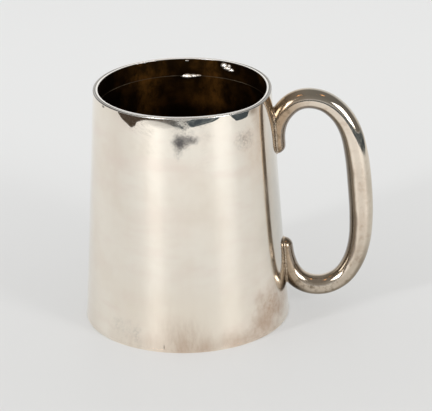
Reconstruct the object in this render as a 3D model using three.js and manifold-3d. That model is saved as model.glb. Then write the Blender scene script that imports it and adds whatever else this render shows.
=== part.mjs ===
// A one-pint silver mug: a tapered drum with a strengthened lip, a foot ring, a let-in base
// and a hollow loop handle that is soldered on by its two tails.
// Millimetres, +Z up. The mug stands on z = 0, its handle points along +X in the plane y = 0, and
// the origin is below the middle of its overall extents, so the drum's axis lies on the -X side.
import * as THREE from "three";
import { mergeVertices } from "three/addons/utils/BufferGeometryUtils.js";
import Module from "manifold-3d";

const wasm = await Module();
wasm.setup();

// Driving dimensions of the drum
const HEIGHT = 115;
const LIP_RADIUS = 41.7;
const FOOT_RADIUS = 48.8;
const WALL = 0.9;
const SOLDER_LINE = 0.1; // the thin gap that solder fills between two turned pieces
const TURNED_FACETS = 72;

// Lip: a band inside the top edge, with a round bead that covers the edge of the sheet
const BAND_DEPTH = 8;
const BAND_THICKNESS = 1.2;
const BEAD_HEIGHT = 1.3;
const BEAD_RADIUS = 1;
const BEAD_STEPS = 8;

// Foot: a ring inside the bottom edge, with a bead under the edge of the sheet
const FOOT_BEAD_HEIGHT = 1.4;
const FOOT_LEG_HEIGHT = 5;
const FOOT_LEG_THICKNESS = 1.2;
const FOOT_EDGE_ROUND = 0.6;
const FOOT_EDGE_STEPS = 3;

// Base: a thin disc that stands on the foot ring, raised at its centre
const BASE_THICKNESS = 0.9;
const BASE_FLAT_WIDTH = 4;
const BASE_DOME = 2;
const BASE_DOME_STEPS = 4;
const BASE_FILLET = 1;

// Handle: a hollow tube that swells in the grip and ends in two round-nosed tails
const HANDLE_WALL = 0.9;
const HANDLE_RADIUS = 4.85;
const GRIP_RADIUS = 5.8;
const TAIL_RADIUS = 4.2;
const GRIP_CENTRE = 0.49; // share of the handle's length from the upper tail
const GRIP_REACH = 0.3; // share of the handle's length over which the grip thins again
const TAIL_REACH = 0.11; // share of the handle's length over which a tail tapers
const HANDLE_STEPS = 48;
const NOSE_STEPS = 4;
const TUBE_SIDES = 20;
const HALVES_GAP = 0.1;
const TAIL_GAP = 0.3; // between a tail and the sheet that it is soldered to
const TAIL_FILLET = 0.9;
const VENT_RADIUS = 0.6;
const VENT_SIDES = 12;
const VENT_PLACE = 0.8; // share of the handle's length from the upper tail

// Centre line of the handle, [distance from the mug's axis, height], from the upper tail's nose
// over the top, down the grip and back up to the lower tail's nose
const HANDLE_LINE = [
  [43.9, 84.4],
  [43.7, 90.5],
  [44.7, 96.2],
  [47.4, 101.4],
  [52.6, 105.9],
  [58.8, 107.4],
  [66.7, 105.5],
  [73.8, 99.5],
  [78.6, 90.9],
  [81.5, 78.5],
  [83.1, 63.0],
  [83.8, 47.5],
  [82.9, 34.0],
  [79.8, 23.6],
  [74.6, 16.0],
  [66.9, 11.9],
  [59.3, 12.0],
  [53.6, 14.9],
  [50.0, 19.6],
  [47.9, 26.0],
  [46.9, 32.5],
];

const drumRadius = (z) => FOOT_RADIUS + ((LIP_RADIUS - FOOT_RADIUS) * z) / HEIGHT;
const liningRadius = (z) => drumRadius(z) - WALL - SOLDER_LINE;

function silver(colour, roughness) {
  return new THREE.MeshStandardMaterial({ color: colour, roughness, metalness: 1 });
}

const SHEET_SILVER = silver(0xd8cfc4, 0.22);
const BRIGHT_SILVER = silver(0xe2ddd6, 0.12);
const HANDLE_SILVER = silver(0xc9bba8, 0.16);
const SOLDER_SILVER = silver(0xb8b0a4, 0.35);

function mesh(name, geometry, material) {
  const made = new THREE.Mesh(geometry, material);
  made.name = name;
  return made;
}

// Solid turned about the Z axis from an outline of [radius, height] points
function turned(outline) {
  const points = outline.map(([radius, height]) => new THREE.Vector2(radius, height));
  return new THREE.LatheGeometry(points, TURNED_FACETS).rotateX(Math.PI / 2);
}

function toSolid(geometry) {
  const bare = new THREE.BufferGeometry();
  bare.setAttribute("position", geometry.getAttribute("position"));
  bare.setIndex(geometry.getIndex());
  const merged = mergeVertices(bare, 1e-4);
  return new wasm.Manifold(
    new wasm.Mesh({
      numProp: 3,
      vertProperties: merged.getAttribute("position").array,
      triVerts: new Uint32Array(merged.getIndex().array),
    }),
  );
}

function toGeometry(solid) {
  const { vertProperties, triVerts } = solid.getMesh();
  const geometry = new THREE.BufferGeometry();
  geometry.setAttribute("position", new THREE.BufferAttribute(vertProperties, 3));
  geometry.setIndex(new THREE.BufferAttribute(triVerts, 1));
  geometry.computeVertexNormals();
  return geometry;
}

function box(low, high) {
  const [x, y, z] = low.map((value, axis) => (value + high[axis]) / 2);
  const size = low.map((value, axis) => high[axis] - value);
  return toSolid(new THREE.BoxGeometry(...size).translate(x, y, z));
}

// The tapered sheet, between the foot's bead and the lip's bead
function bodyWall() {
  const low = FOOT_BEAD_HEIGHT + SOLDER_LINE;
  const high = HEIGHT - BEAD_HEIGHT - SOLDER_LINE;
  return turned([
    [drumRadius(low) - WALL, low],
    [drumRadius(low), low],
    [drumRadius(high), high],
    [drumRadius(high) - WALL, high],
    [drumRadius(low) - WALL, low],
  ]);
}

function rimBand() {
  const low = HEIGHT - BAND_DEPTH;
  const shoulder = HEIGHT - BEAD_HEIGHT;
  const middle = liningRadius(shoulder) - BAND_THICKNESS + BEAD_RADIUS;
  const bead = [];
  for (let step = 0; step <= BEAD_STEPS; step++) {
    const angle = (Math.PI * step) / BEAD_STEPS;
    const rise = BEAD_RADIUS * (1 - Math.sin(angle));
    bead.push([middle + BEAD_RADIUS * Math.cos(angle), HEIGHT - rise]);
  }
  return turned([
    [liningRadius(low) - BAND_THICKNESS, low],
    [liningRadius(low), low],
    [liningRadius(shoulder), shoulder],
    [drumRadius(shoulder), shoulder],
    ...bead,
    [liningRadius(low) - BAND_THICKNESS, low],
  ]);
}

function footRing() {
  const legTop = liningRadius(FOOT_LEG_HEIGHT);
  const inner = legTop - FOOT_LEG_THICKNESS;
  const edge = drumRadius(0) - FOOT_EDGE_ROUND;
  const round = Array.from({ length: FOOT_EDGE_STEPS + 1 }, (_, step) => {
    const angle = (Math.PI / 2) * (step / FOOT_EDGE_STEPS - 1);
    return [edge + FOOT_EDGE_ROUND * Math.cos(angle), FOOT_EDGE_ROUND * (1 + Math.sin(angle))];
  });
  return turned([
    [inner, 0],
    ...round,
    [drumRadius(FOOT_BEAD_HEIGHT), FOOT_BEAD_HEIGHT],
    [liningRadius(FOOT_BEAD_HEIGHT), FOOT_BEAD_HEIGHT],
    [legTop, FOOT_LEG_HEIGHT],
    [inner, FOOT_LEG_HEIGHT],
    [inner, 0],
  ]);
}

const baseLow = FOOT_LEG_HEIGHT + SOLDER_LINE;
const baseHigh = baseLow + BASE_THICKNESS;

function basePlate() {
  const edge = liningRadius(baseHigh);
  const flat = edge - BASE_FLAT_WIDTH;
  const dome = (low) =>
    Array.from({ length: BASE_DOME_STEPS + 1 }, (_, step) => {
      const share = step / BASE_DOME_STEPS;
      return [flat * share, low + BASE_DOME * (1 - share * share)];
    });
  return turned([
    ...dome(baseLow),
    [edge, baseLow],
    [edge, baseHigh],
    ...dome(baseHigh).reverse(),
  ]);
}

// The fillet of solder that seals the base to the wall, inside the mug
function baseSolder() {
  const low = baseHigh + SOLDER_LINE;
  const high = low + BASE_FILLET;
  return turned([
    [liningRadius(low) - BASE_FILLET, low],
    [liningRadius(low), low],
    [liningRadius(high), high],
    [liningRadius(low) - BASE_FILLET, low],
  ]);
}

const handleLine = new THREE.CatmullRomCurve3(
  HANDLE_LINE.map(([reach, height]) => new THREE.Vector3(reach, 0, height)),
  false,
  "centripetal",
);

// Radius of the handle's tube at a share of its length
function handleRadius(share) {
  const fromGrip = Math.min(1, Math.abs(share - GRIP_CENTRE) / GRIP_REACH);
  const swell = Math.cos((Math.PI / 2) * fromGrip) ** 2;
  const fromEnd = Math.min(share, 1 - share);
  const thin = 1 - THREE.MathUtils.smoothstep(fromEnd, 0, TAIL_REACH);
  return HANDLE_RADIUS + (GRIP_RADIUS - HANDLE_RADIUS) * swell - (HANDLE_RADIUS - TAIL_RADIUS) * thin;
}

// The place, direction and outward side of the handle's centre line at a share of its length
function station(share) {
  const centre = handleLine.getPointAt(share);
  const along = handleLine.getTangentAt(share);
  const side = new THREE.Vector3(-along.z, 0, along.x);
  return { centre, along, side };
}

function ring({ centre, side }, radius) {
  const across = new THREE.Vector3(0, 1, 0);
  return Array.from({ length: TUBE_SIDES }, (_, corner) => {
    const angle = (2 * Math.PI * corner) / TUBE_SIDES;
    return centre
      .clone()
      .addScaledVector(side, radius * Math.cos(angle))
      .addScaledVector(across, radius * Math.sin(angle));
  });
}

// The round nose that closes one end of the tube: its rings, from the tube outwards, and its pole
function nose(share, outward, grow) {
  const { centre, along, side } = station(share);
  const radius = handleRadius(share) + grow;
  const rings = [];
  for (let step = 1; step < NOSE_STEPS; step++) {
    const angle = (Math.PI / 2) * (step / NOSE_STEPS);
    const moved = centre.clone().addScaledVector(along, outward * radius * Math.sin(angle));
    rings.push(ring({ centre: moved, side }, radius * Math.cos(angle)));
  }
  return { rings, pole: centre.clone().addScaledVector(along, outward * radius) };
}

// Closed tube along the whole handle line, its radius changed by grow
function handleTube(grow) {
  const start = nose(0, -1, grow);
  const end = nose(1, 1, grow);
  const rings = start.rings.reverse();
  for (let step = 0; step <= HANDLE_STEPS; step++) {
    const share = step / HANDLE_STEPS;
    rings.push(ring(station(share), handleRadius(share) + grow));
  }
  rings.push(...end.rings);
  const corners = [start.pole, ...rings.flat(), end.pole];
  const lastRow = rings.length - 1;
  const corner = (row, column) => 1 + row * TUBE_SIDES + (column % TUBE_SIDES);
  const faces = [];
  for (let column = 0; column < TUBE_SIDES; column++) {
    faces.push(0, corner(0, column), corner(0, column + 1));
    for (let row = 0; row < lastRow; row++) {
      const [a, b] = [corner(row, column), corner(row, column + 1)];
      const [c, d] = [corner(row + 1, column), corner(row + 1, column + 1)];
      faces.push(a, c, b, b, c, d);
    }
    faces.push(corners.length - 1, corner(lastRow, column + 1), corner(lastRow, column));
  }
  const geometry = new THREE.BufferGeometry().setFromPoints(corners);
  geometry.setIndex(faces);
  return toSolid(geometry);
}

// Solid drum, larger than the sheet by a margin, that clears the handle's tails off the wall
function drum(margin) {
  return toSolid(
    turned([
      [0, -HEIGHT],
      [drumRadius(-HEIGHT) + margin, -HEIGHT],
      [drumRadius(2 * HEIGHT) + margin, 2 * HEIGHT],
      [0, 2 * HEIGHT],
    ]),
  );
}

// Small hole under the lower bend that lets air out of the hollow handle while it is soldered
function ventHole() {
  const { centre, side } = station(VENT_PLACE);
  const turn = new THREE.Quaternion().setFromUnitVectors(new THREE.Vector3(0, 1, 0), side);
  const middle = centre.clone().addScaledVector(side, HANDLE_RADIUS);
  const hole = new THREE.CylinderGeometry(VENT_RADIUS, VENT_RADIUS, HANDLE_RADIUS, VENT_SIDES);
  return toSolid(hole.applyQuaternion(turn).translate(middle.x, middle.y, middle.z));
}

function handleHalves() {
  const shell = handleTube(0)
    .subtract(handleTube(-HANDLE_WALL))
    .subtract(drum(TAIL_GAP))
    .subtract(ventHole());
  const beyond = 2 * HEIGHT;
  const seam = HALVES_GAP / 2;
  const front = shell.intersect(box([-beyond, -beyond, -beyond], [beyond, -seam, beyond]));
  const back = shell.intersect(box([-beyond, seam, -beyond], [beyond, beyond, beyond]));
  return [front, back].map(toGeometry);
}

// Bead of solder round the footprint of one tail, between two heights
function tailSolder(low, high) {
  const beyond = 2 * FOOT_RADIUS;
  return toGeometry(
    handleTube(TAIL_FILLET)
      .subtract(handleTube(TAIL_GAP))
      .subtract(drum(TAIL_GAP))
      .intersect(drum(TAIL_FILLET))
      .intersect(box([0, -beyond, low], [beyond, beyond, high])),
  );
}

// Moves the group along X, so that its overall extents are centred on x = 0
function centre(group) {
  const extents = new THREE.Box3().setFromObject(group, true);
  group.position.x = -(extents.min.x + extents.max.x) / 2;
}

const mug = new THREE.Group();
const [frontHalf, backHalf] = handleHalves();
mug.add(
  mesh("body_wall", bodyWall(), SHEET_SILVER),
  mesh("rim_band", rimBand(), BRIGHT_SILVER),
  mesh("foot_ring", footRing(), SHEET_SILVER),
  mesh("base_plate", basePlate(), SHEET_SILVER),
  mesh("base_solder", baseSolder(), SOLDER_SILVER),
  mesh("handle_front_half", frontHalf, HANDLE_SILVER),
  mesh("handle_back_half", backHalf, HANDLE_SILVER),
  mesh("upper_tail_solder", tailSolder(HEIGHT / 2, HEIGHT), SOLDER_SILVER),
  mesh("lower_tail_solder", tailSolder(0, HEIGHT / 2), SOLDER_SILVER),
);
centre(mug);

export default mug;
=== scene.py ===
# %% [markdown]
# # A one-pint silver mug
#
# The mug is made of thin silver: a tapered drum rolled from one sheet, a band inside its lip, a
# ring under its foot, a let-in base, and a hollow loop handle soldered on by its two tails. It is
# old and much polished, so it works as a slightly hazy warm mirror. Most of what the eye takes
# for its colour is the pale paper that it stands on, and the dark line under the lip is the room
# beyond the paper. So the studio in this file is built as carefully as the metal.
#
# The CAD model is loaded first. It is the fixed frame: every piece is made where the CAD says.

# %% Load the CAD frame
import math

import bmesh
import bpy
from mathutils import Matrix, Vector
from mathutils.geometry import interpolate_bezier


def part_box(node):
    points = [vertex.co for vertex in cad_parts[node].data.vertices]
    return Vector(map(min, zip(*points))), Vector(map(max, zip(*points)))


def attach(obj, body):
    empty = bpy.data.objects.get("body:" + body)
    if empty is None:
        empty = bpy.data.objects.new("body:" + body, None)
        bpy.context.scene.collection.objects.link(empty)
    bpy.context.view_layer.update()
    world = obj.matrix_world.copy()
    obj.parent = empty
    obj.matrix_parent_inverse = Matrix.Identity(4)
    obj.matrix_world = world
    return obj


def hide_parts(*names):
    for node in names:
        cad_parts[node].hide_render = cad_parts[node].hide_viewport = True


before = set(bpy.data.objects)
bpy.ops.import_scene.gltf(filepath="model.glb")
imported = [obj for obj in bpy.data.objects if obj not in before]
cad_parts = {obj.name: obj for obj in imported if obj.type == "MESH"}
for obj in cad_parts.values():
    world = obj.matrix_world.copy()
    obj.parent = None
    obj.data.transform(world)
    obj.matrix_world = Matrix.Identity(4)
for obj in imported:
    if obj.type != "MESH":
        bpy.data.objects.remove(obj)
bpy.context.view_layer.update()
MM = 0.001

# %% [markdown]
# Everything round on this mug is turned about one upright axis. The CAD model is centred on its
# overall extents, handle and all, so that axis is not at x = 0. It is read from the box of the
# sheet wall, which is round and therefore centred on the axis.

# %% Find the drum's axis
wall_low, wall_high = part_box("body_wall")
axis_x = (wall_low.x + wall_high.x) / 2

HEIGHT = 115
LIP_RADIUS = 41.7
FOOT_RADIUS = 48.8
WALL = 0.9
SOLDER_LINE = 0.1


def drum_radius(height):
    return FOOT_RADIUS + (LIP_RADIUS - FOOT_RADIUS) * height / HEIGHT


def lining_radius(height):
    return drum_radius(height) - WALL - SOLDER_LINE


print("drum's axis at x =", round(axis_x / MM, 3), "mm")

# %% [markdown]
# ## Camera
#
# The photograph was taken with a long lens from a little over a metre away, looking down by 23
# degrees. A long lens keeps the sides of the drum nearly straight. The camera could be aimed with
# a Track To constraint, but a constraint can't hold the small roll that the picture has, so its
# rotation is put together from a tilt and a roll.

# %% Place the camera
LENS = 208.33
SENSOR_WIDTH = 36
LOOKS_DOWN = 22.94
ROLL = -1.21
CAMERA_PLACE = (-0.00568, -1.09647, 0.51790)

camera_data = bpy.data.cameras.new("camera")
camera_data.sensor_width = SENSOR_WIDTH
camera_data.lens = LENS
camera_data.clip_start = 0.05
camera_data.clip_end = 60
camera = bpy.data.objects.new("camera", camera_data)
camera_tilt = Matrix.Rotation(math.radians(90 - LOOKS_DOWN), 4, "X")
camera_roll = Matrix.Rotation(math.radians(ROLL), 4, "Z")
camera.matrix_world = Matrix.Translation(CAMERA_PLACE) @ camera_tilt @ camera_roll
bpy.context.scene.collection.objects.link(camera)
bpy.context.scene.camera = camera
bpy.context.scene.view_settings.view_transform = "Standard"

print("camera looks along", [round(part, 3) for part in -camera.matrix_world.col[2].xyz])

# %% [markdown]
# ## Helpers for nodes
#
# A material is a tree of nodes. Adding each node, setting its options and linking its sockets
# takes many lines, so one helper does all three. A value that is a socket becomes a link, and any
# other value becomes the socket's own setting.


# %% Adding nodes
def set_sockets(tree, node, sockets):
    for name, value in sockets.items():
        if isinstance(value, bpy.types.NodeSocket):
            tree.links.new(value, node.inputs[name])
        else:
            node.inputs[name].default_value = value
    return node


def add_node(tree, kind, sockets=None, **options):
    node = tree.nodes.new("ShaderNode" + kind)
    for name, value in options.items():
        setattr(node, name, value)
    return set_sockets(tree, node, sockets or {})


def new_material(name):
    material = bpy.data.materials.new(name)
    material.use_nodes = True
    material.node_tree.nodes.clear()
    print("material", name)
    return material, material.node_tree


# %% [markdown]
# The same few sums come up in every finish: a product, a share of one value added to another, a
# soft step between two limits, and one colour laid over another. Written as functions they read
# like a recipe, and each still becomes plain nodes.


# %% Sums and colours
def calculate(tree, operation, first, second=0.0, third=0.0):
    sockets = {0: first, 1: second, 2: third}
    return add_node(tree, "Math", sockets, operation=operation).outputs[0]


def product(tree, first, *others):
    for other in others:
        first = calculate(tree, "MULTIPLY", first, other)
    return first


def add_share(tree, base, value, share):
    return calculate(tree, "MULTIPLY_ADD", value, share, base)


def one_minus(tree, value):
    return calculate(tree, "SUBTRACT", 1.0, value)


def apart(tree, first, second):
    """How far two values differ, whichever is larger."""
    return calculate(tree, "ABSOLUTE", calculate(tree, "SUBTRACT", first, second))


def remap(tree, value, low, high):
    """Zero at low and one at high, with a soft step between them. Low may be the larger one."""
    sockets = {"Value": value, "From Min": low, "From Max": high}
    node = add_node(tree, "MapRange", sockets, interpolation_type="SMOOTHSTEP")
    return node.outputs["Result"]


def mix_colours(tree, share, under, over):
    """Lays a share of one colour over another. Each is a socket or three numbers."""
    under, over = (c if isinstance(c, bpy.types.NodeSocket) else (*c, 1) for c in (under, over))
    return add_node(tree, "Mix", {0: share, 6: under, 7: over}, data_type="RGBA").outputs[2]


# %% [markdown]
# Every pattern is laid out on the piece's own coordinates, so it stays where it is on the metal
# from all sides. Multiplying them by less than one along an axis draws a pattern out that way.


# %% Places and noise
def place_on_piece(tree):
    return add_node(tree, "TexCoord").outputs["Object"]


def along(tree, place, axis):
    return add_node(tree, "SeparateXYZ", {"Vector": place}).outputs[axis]


def vector_sum(tree, operation, first, second):
    return add_node(tree, "VectorMath", {0: first, 1: second}, operation=operation).outputs[0]


def measure(tree, operation, first, second=(0, 0, 0)):
    """A vector sum that ends in a plain number, such as a distance."""
    node = add_node(tree, "VectorMath", {0: first, 1: second}, operation=operation)
    return node.outputs["Value"]


def stretch(tree, place, factors):
    return vector_sum(tree, "MULTIPLY", place, factors)


def noise(tree, place, scale, detail, roughness=0.5):
    sockets = {"Vector": place, "Scale": scale, "Detail": detail, "Roughness": roughness}
    return add_node(tree, "TexNoise", sockets).outputs[0]


# %% [markdown]
# ## Floor
#
# The mug stands on seamless white paper, which fills the picture. The paper's colour is painted
# lighter at the back, where it nears the backdrop, and at the front, under the lamps: this is
# painted light. It isn't perfectly matt: looked at low and towards a lamp it has a sheen. The camera
# never looks that way, but the mug does, and the sheen draws the two pale upright bands on its drum.

# %% Paper
PAPER_MIDDLE = (0.70, 0.70, 0.693)
PAPER_BACK = (0.875, 0.88, 0.875)
PAPER_FRONT = (0.815, 0.815, 0.805)
PAPER_SHEEN = {"Roughness": 0.55, "Specular IOR Level": 0.90, "IOR": 1.8}

floor_material, tree = new_material("studio_paper")
place = place_on_piece(tree)
backwards = along(tree, place, "Y")
# painted light: the paper's colour is lighter towards the back and towards the front
paper_colour = mix_colours(tree, remap(tree, backwards, -0.12, 0.26), PAPER_MIDDLE, PAPER_BACK)
paper_colour = mix_colours(tree, remap(tree, backwards, -0.10, -0.37), paper_colour, PAPER_FRONT)
paper = add_node(tree, "BsdfPrincipled", {"Base Color": paper_colour, **PAPER_SHEEN})

# %% [markdown]
# The real paper is lit from all over a large white studio, more evenly than two lamps can do it.
# More lamps would also light the mug, and wash its shadow away. So half of the paper's light is a
# glow that only the camera and mirror reflections see. It stops at the edge of the foot, where the
# paper is left to its own deep shadow, which draws the thin dark line under the mug.

# %% Glow of the paper
GLOW_SHARE = 0.5
GLOW_MIDDLE = (0.685, 0.685, 0.678)
GLOW_BACK = (0.835, 0.84, 0.835)
NO_GLOW_WITHIN = 0.0487
FULL_GLOW_FROM = 0.0500

glow_colour = mix_colours(tree, remap(tree, backwards, -0.10, 0.45), GLOW_MIDDLE, GLOW_BACK)
glow = add_node(tree, "Emission", {"Color": glow_colour, "Strength": 1.0})
rays = add_node(tree, "LightPath").outputs
looking = calculate(tree, "MAXIMUM", rays["Is Camera Ray"], rays["Is Glossy Ray"])
from_axis = measure(tree, "DISTANCE", place, (axis_x, 0, 0))
clear_of_foot = remap(tree, from_axis, NO_GLOW_WITHIN, FULL_GLOW_FROM)
glow_share = product(tree, looking, clear_of_foot, GLOW_SHARE)
paper_mix = add_node(tree, "MixShader", {0: glow_share, 1: paper.outputs[0], 2: glow.outputs[0]})
add_node(tree, "OutputMaterial", {"Surface": paper_mix.outputs[0]})

# %% [markdown]
# A very large flat grid does for the sheet of paper. The helper that makes it an object serves
# every other mesh here too: the object stays at the origin, and its place is in its points.

# %% Floor
FLOOR_HALF = 20.0


def add_mesh(name, bm, materials):
    mesh = bpy.data.meshes.new(name)
    bm.to_mesh(mesh)
    bm.free()
    for material in materials:
        mesh.materials.append(material)
    added = bpy.data.objects.new(name, mesh)
    bpy.context.scene.collection.objects.link(added)
    print(name, "has", sum(len(face.vertices) - 2 for face in mesh.polygons), "triangles")
    return added


bm = bmesh.new()
bmesh.ops.create_grid(bm, x_segments=1, y_segments=1, size=FLOOR_HALF)
floor = add_mesh("studio_floor", bm, [floor_material])

# %% [markdown]
# ## The room that the silver sees
#
# Polished silver shows what lies around it, most of it outside the picture. The real paper ends
# about half a metre in front of the mug, and past its edge lies the dark room, brown at the left
# and blue-grey with a few lighter shapes at the right. That edge draws the dark lines along the
# handle and the dark patches under the lip. Here the room is a flat ring round the mug that glows
# very dimly.

# %% Glow of the dark room
ROOM_BROWN = (0.062, 0.047, 0.036)
ROOM_BLUE = (0.052, 0.066, 0.078)
ROOM_LIGHTER = (0.20, 0.225, 0.235)

room_material, tree = new_material("dark_room")
place = place_on_piece(tree)
rightwards = along(tree, place, "X")
at_right = remap(tree, rightwards, -0.45, 0.05)
room_colour = mix_colours(tree, at_right, ROOM_BROWN, ROOM_BLUE)
shapes = remap(tree, noise(tree, place, 3.4, 2.0), 0.48, 0.62)
room_colour = mix_colours(tree, product(tree, shapes, at_right), room_colour, ROOM_LIGHTER)
room_glow = add_node(tree, "Emission", {"Color": room_colour, "Strength": 1.0})

# %% [markdown]
# The ring is open at the back. In a side view its two ends would draw hard upright edges on the
# drum, so it grows clear towards them, by the angle round the mug. From below it is clear all
# over: the paper under it has its sheen from the lamps, and the ring mustn't cut that off.

# %% Clear ends and a clear underside
RING_START = -118
RING_END = 150
RING_FULL_FROM = -75
RING_FULL_TO = 101

to_right = calculate(tree, "SUBTRACT", rightwards, axis_x)
to_front = product(tree, along(tree, place, "Y"), -1.0)
turn = calculate(tree, "ARCTAN2", to_right, to_front)
left_end = remap(tree, turn, math.radians(RING_START), math.radians(RING_FULL_FROM))
right_end = remap(tree, turn, math.radians(RING_END), math.radians(RING_FULL_TO))
from_below = add_node(tree, "NewGeometry").outputs["Backfacing"]
room_share = product(tree, left_end, right_end, one_minus(tree, from_below))
clear = add_node(tree, "BsdfTransparent")
room_mix = add_node(tree, "MixShader", {0: room_share, 1: clear.outputs[0], 2: room_glow.outputs[0]})
add_node(tree, "OutputMaterial", {"Surface": room_mix.outputs[0]})

# %% [markdown]
# The ring is one spoke, spun round the mug just above the paper. A dark floor outside the white
# one would do as well, but then the camera would see it. The ring is hidden from the camera, from
# shadows and from the light on the paper, so that only mirror reflections find it.

# %% Ring of the dark room
PAPER_EDGE = 0.50
ROOM_REACH = 6.0
RING_LIFT = 0.002
RING_STEPS = 64


def from_front(azimuth, distance, height=0.0):
    """The point at an angle to the right of the mug's front, seen from the drum's axis."""
    turn = math.radians(azimuth)
    return Vector((axis_x + distance * math.sin(turn), -distance * math.cos(turn), height))


bm = bmesh.new()
near = bm.verts.new(from_front(RING_START, PAPER_EDGE, RING_LIFT))
far = bm.verts.new(from_front(RING_START, ROOM_REACH, RING_LIFT))
spoke = bm.edges.new((near, far))
bmesh.ops.spin(
    bm,
    geom=[near, far, spoke],
    cent=(axis_x, 0, 0),
    axis=(0, 0, 1),
    dvec=(0, 0, 0),
    angle=math.radians(RING_END - RING_START),
    steps=RING_STEPS,
)
bm.normal_update()
bmesh.ops.reverse_faces(bm, faces=[face for face in bm.faces if face.normal.z < 0])
room = add_mesh("dark_room", bm, [room_material])
room.visible_camera = False
room.visible_diffuse = False
room.visible_shadow = False

# %% [markdown]
# Above the floor the surroundings are far away, so they can be painted on the world by direction:
# a dim room at the left, a lighter one at the right, a pale backdrop behind, a grey wall low down
# in front, and a brown-grey ceiling over all of it.

# %% Walls and ceiling
ROOM_LEFT = (0.075, 0.066, 0.056)
ROOM_RIGHT = (0.17, 0.16, 0.145)
ROOM_FRONT = (0.25, 0.24, 0.22)
ROOM_BACK = (0.95, 0.94, 0.92)
FRONT_WALL = (0.47, 0.475, 0.475)
CEILING = (0.26, 0.242, 0.218)

world = bpy.data.worlds.new("studio")
world.use_nodes = True
bpy.context.scene.world = world
tree = world.node_tree
tree.nodes.clear()
direction = add_node(tree, "TexCoord").outputs["Generated"]
right, back, up = (along(tree, direction, axis) for axis in "XYZ")
surroundings = mix_colours(tree, remap(tree, right, -0.6, 0.5), ROOM_LEFT, ROOM_RIGHT)
surroundings = mix_colours(tree, remap(tree, back, -0.3, -0.8), surroundings, ROOM_FRONT)
backness = remap(tree, add_share(tree, back, right, 0.15), 0.42, 0.9)
surroundings = mix_colours(tree, backness, surroundings, ROOM_BACK)
low_in_front = product(tree, remap(tree, up, 0.26, 0.10), remap(tree, back, -0.84, -0.97))
surroundings = mix_colours(tree, low_in_front, surroundings, FRONT_WALL)
above = remap(tree, add_share(tree, up, backness, -0.25), 0.15, 0.95)
surroundings = mix_colours(tree, above, surroundings, CEILING)

# %% [markdown]
# Two warm bulbs hang high up in the room. They draw the small amber glints on the handle's bends.
# The dot product of two directions tells how near they are, so a bulb is a small round spot on
# the world, and needs no lamp.

# %% Bulbs
BULB = (2.4, 1.25, 0.55)
BULB_PLACES = ((60, 60), (-36, 60))
BULB_EDGE = math.cos(math.radians(4.5))
BULB_CORE = math.cos(math.radians(2.5))


def towards(azimuth, elevation):
    turn, rise = math.radians(azimuth), math.radians(elevation)
    return (math.sin(turn) * math.cos(rise), -math.cos(turn) * math.cos(rise), math.sin(rise))


for azimuth, elevation in BULB_PLACES:
    nearness = measure(tree, "DOT_PRODUCT", direction, towards(azimuth, elevation))
    bulb = remap(tree, nearness, BULB_EDGE, BULB_CORE)
    surroundings = mix_colours(tree, bulb, surroundings, BULB)

print("bulbs:", len(BULB_PLACES))

# %% [markdown]
# Light Path tells the rays apart. The camera sees a plain pale backdrop, and a mirror reflection
# sees the room. The floor is lit by a plain even sky, which is the light that bounces about in a
# white studio.

# %% World
BACKDROP_PALE = (0.84, 0.85, 0.85)
SKY_FILL = (0.72, 0.72, 0.72)

rays = add_node(tree, "LightPath").outputs
first_bounces = calculate(tree, "LESS_THAN", rays["Diffuse Depth"], 0.5)
mirrored = product(tree, rays["Is Glossy Ray"], first_bounces)
seen = mix_colours(tree, mirrored, SKY_FILL, surroundings)
seen = mix_colours(tree, rays["Is Camera Ray"], seen, BACKDROP_PALE)
light = add_node(tree, "Background", {"Color": seen, "Strength": 1.0})
add_node(tree, "OutputWorld", {"Surface": light.outputs[0]})

print("sky fill", SKY_FILL)

# %% [markdown]
# Two tall softboxes stand in front, left and right. They draw the white streaks on the handle
# and the two pale upright bands on the drum. A softbox is bright in its middle and dim at its
# edge, so it throws a narrower shadow than its size in a mirror tells. An area lamp is even, so
# each softbox is two lamps: a large one that only mirrors see, and a small one that only lights
# the paper and throws the faint shadow.

# %% Softboxes
SOFTBOX_DISTANCE = 2.6
KEY_DISTANCE = 1.15
AIM_HEIGHT = 0.06


def add_lamp(name, azimuth, elevation, distance, size, radiance, colour):
    data = bpy.data.lights.new(name, "AREA")
    data.shape = "RECTANGLE"
    data.size, data.size_y = size
    data.color = colour
    data.energy = radiance * math.pi * size[0] * size[1]
    lamp = bpy.data.objects.new(name, data)
    rise = distance * math.sin(math.radians(elevation))
    reach = distance * math.cos(math.radians(elevation))
    lamp.location = from_front(azimuth, reach, AIM_HEIGHT + rise)
    lamp.rotation_mode = "QUATERNION"
    target = Vector((axis_x, 0, AIM_HEIGHT))
    lamp.rotation_quaternion = (target - lamp.location).to_track_quat("-Z", "Y")
    lamp.visible_camera = False
    bpy.context.scene.collection.objects.link(lamp)
    print(name, "power", round(data.energy, 2), "W at", [round(v, 3) for v in lamp.location])
    return lamp


# name, azimuth, elevation, distance, size, radiance, colour
for lamp in (
    add_lamp("softbox_left", -35, 18, SOFTBOX_DISTANCE, (0.86, 0.99), 6.9, (1.0, 0.99, 0.98)),
    add_lamp("softbox_right", 50, 15, SOFTBOX_DISTANCE, (1.05, 1.13), 5.0, (0.98, 0.99, 1.0)),
):
    lamp.visible_diffuse = False
for lamp in (
    add_lamp("key_left", -53, 22, KEY_DISTANCE, (0.14, 0.20), 73.0, (1.0, 1.0, 1.0)),
    add_lamp("key_right", 46, 22, KEY_DISTANCE, (0.26, 0.26), 28.5, (1.0, 1.0, 1.0)),
):
    lamp.visible_glossy = False

# %% [markdown]
# ## Surface effects
#
# The metals share a few effects. Each could be written out again in every material, but then a
# change would have to be made many times. So each is a node group with named inputs, built once
# and placed in every material with its own values.


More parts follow.
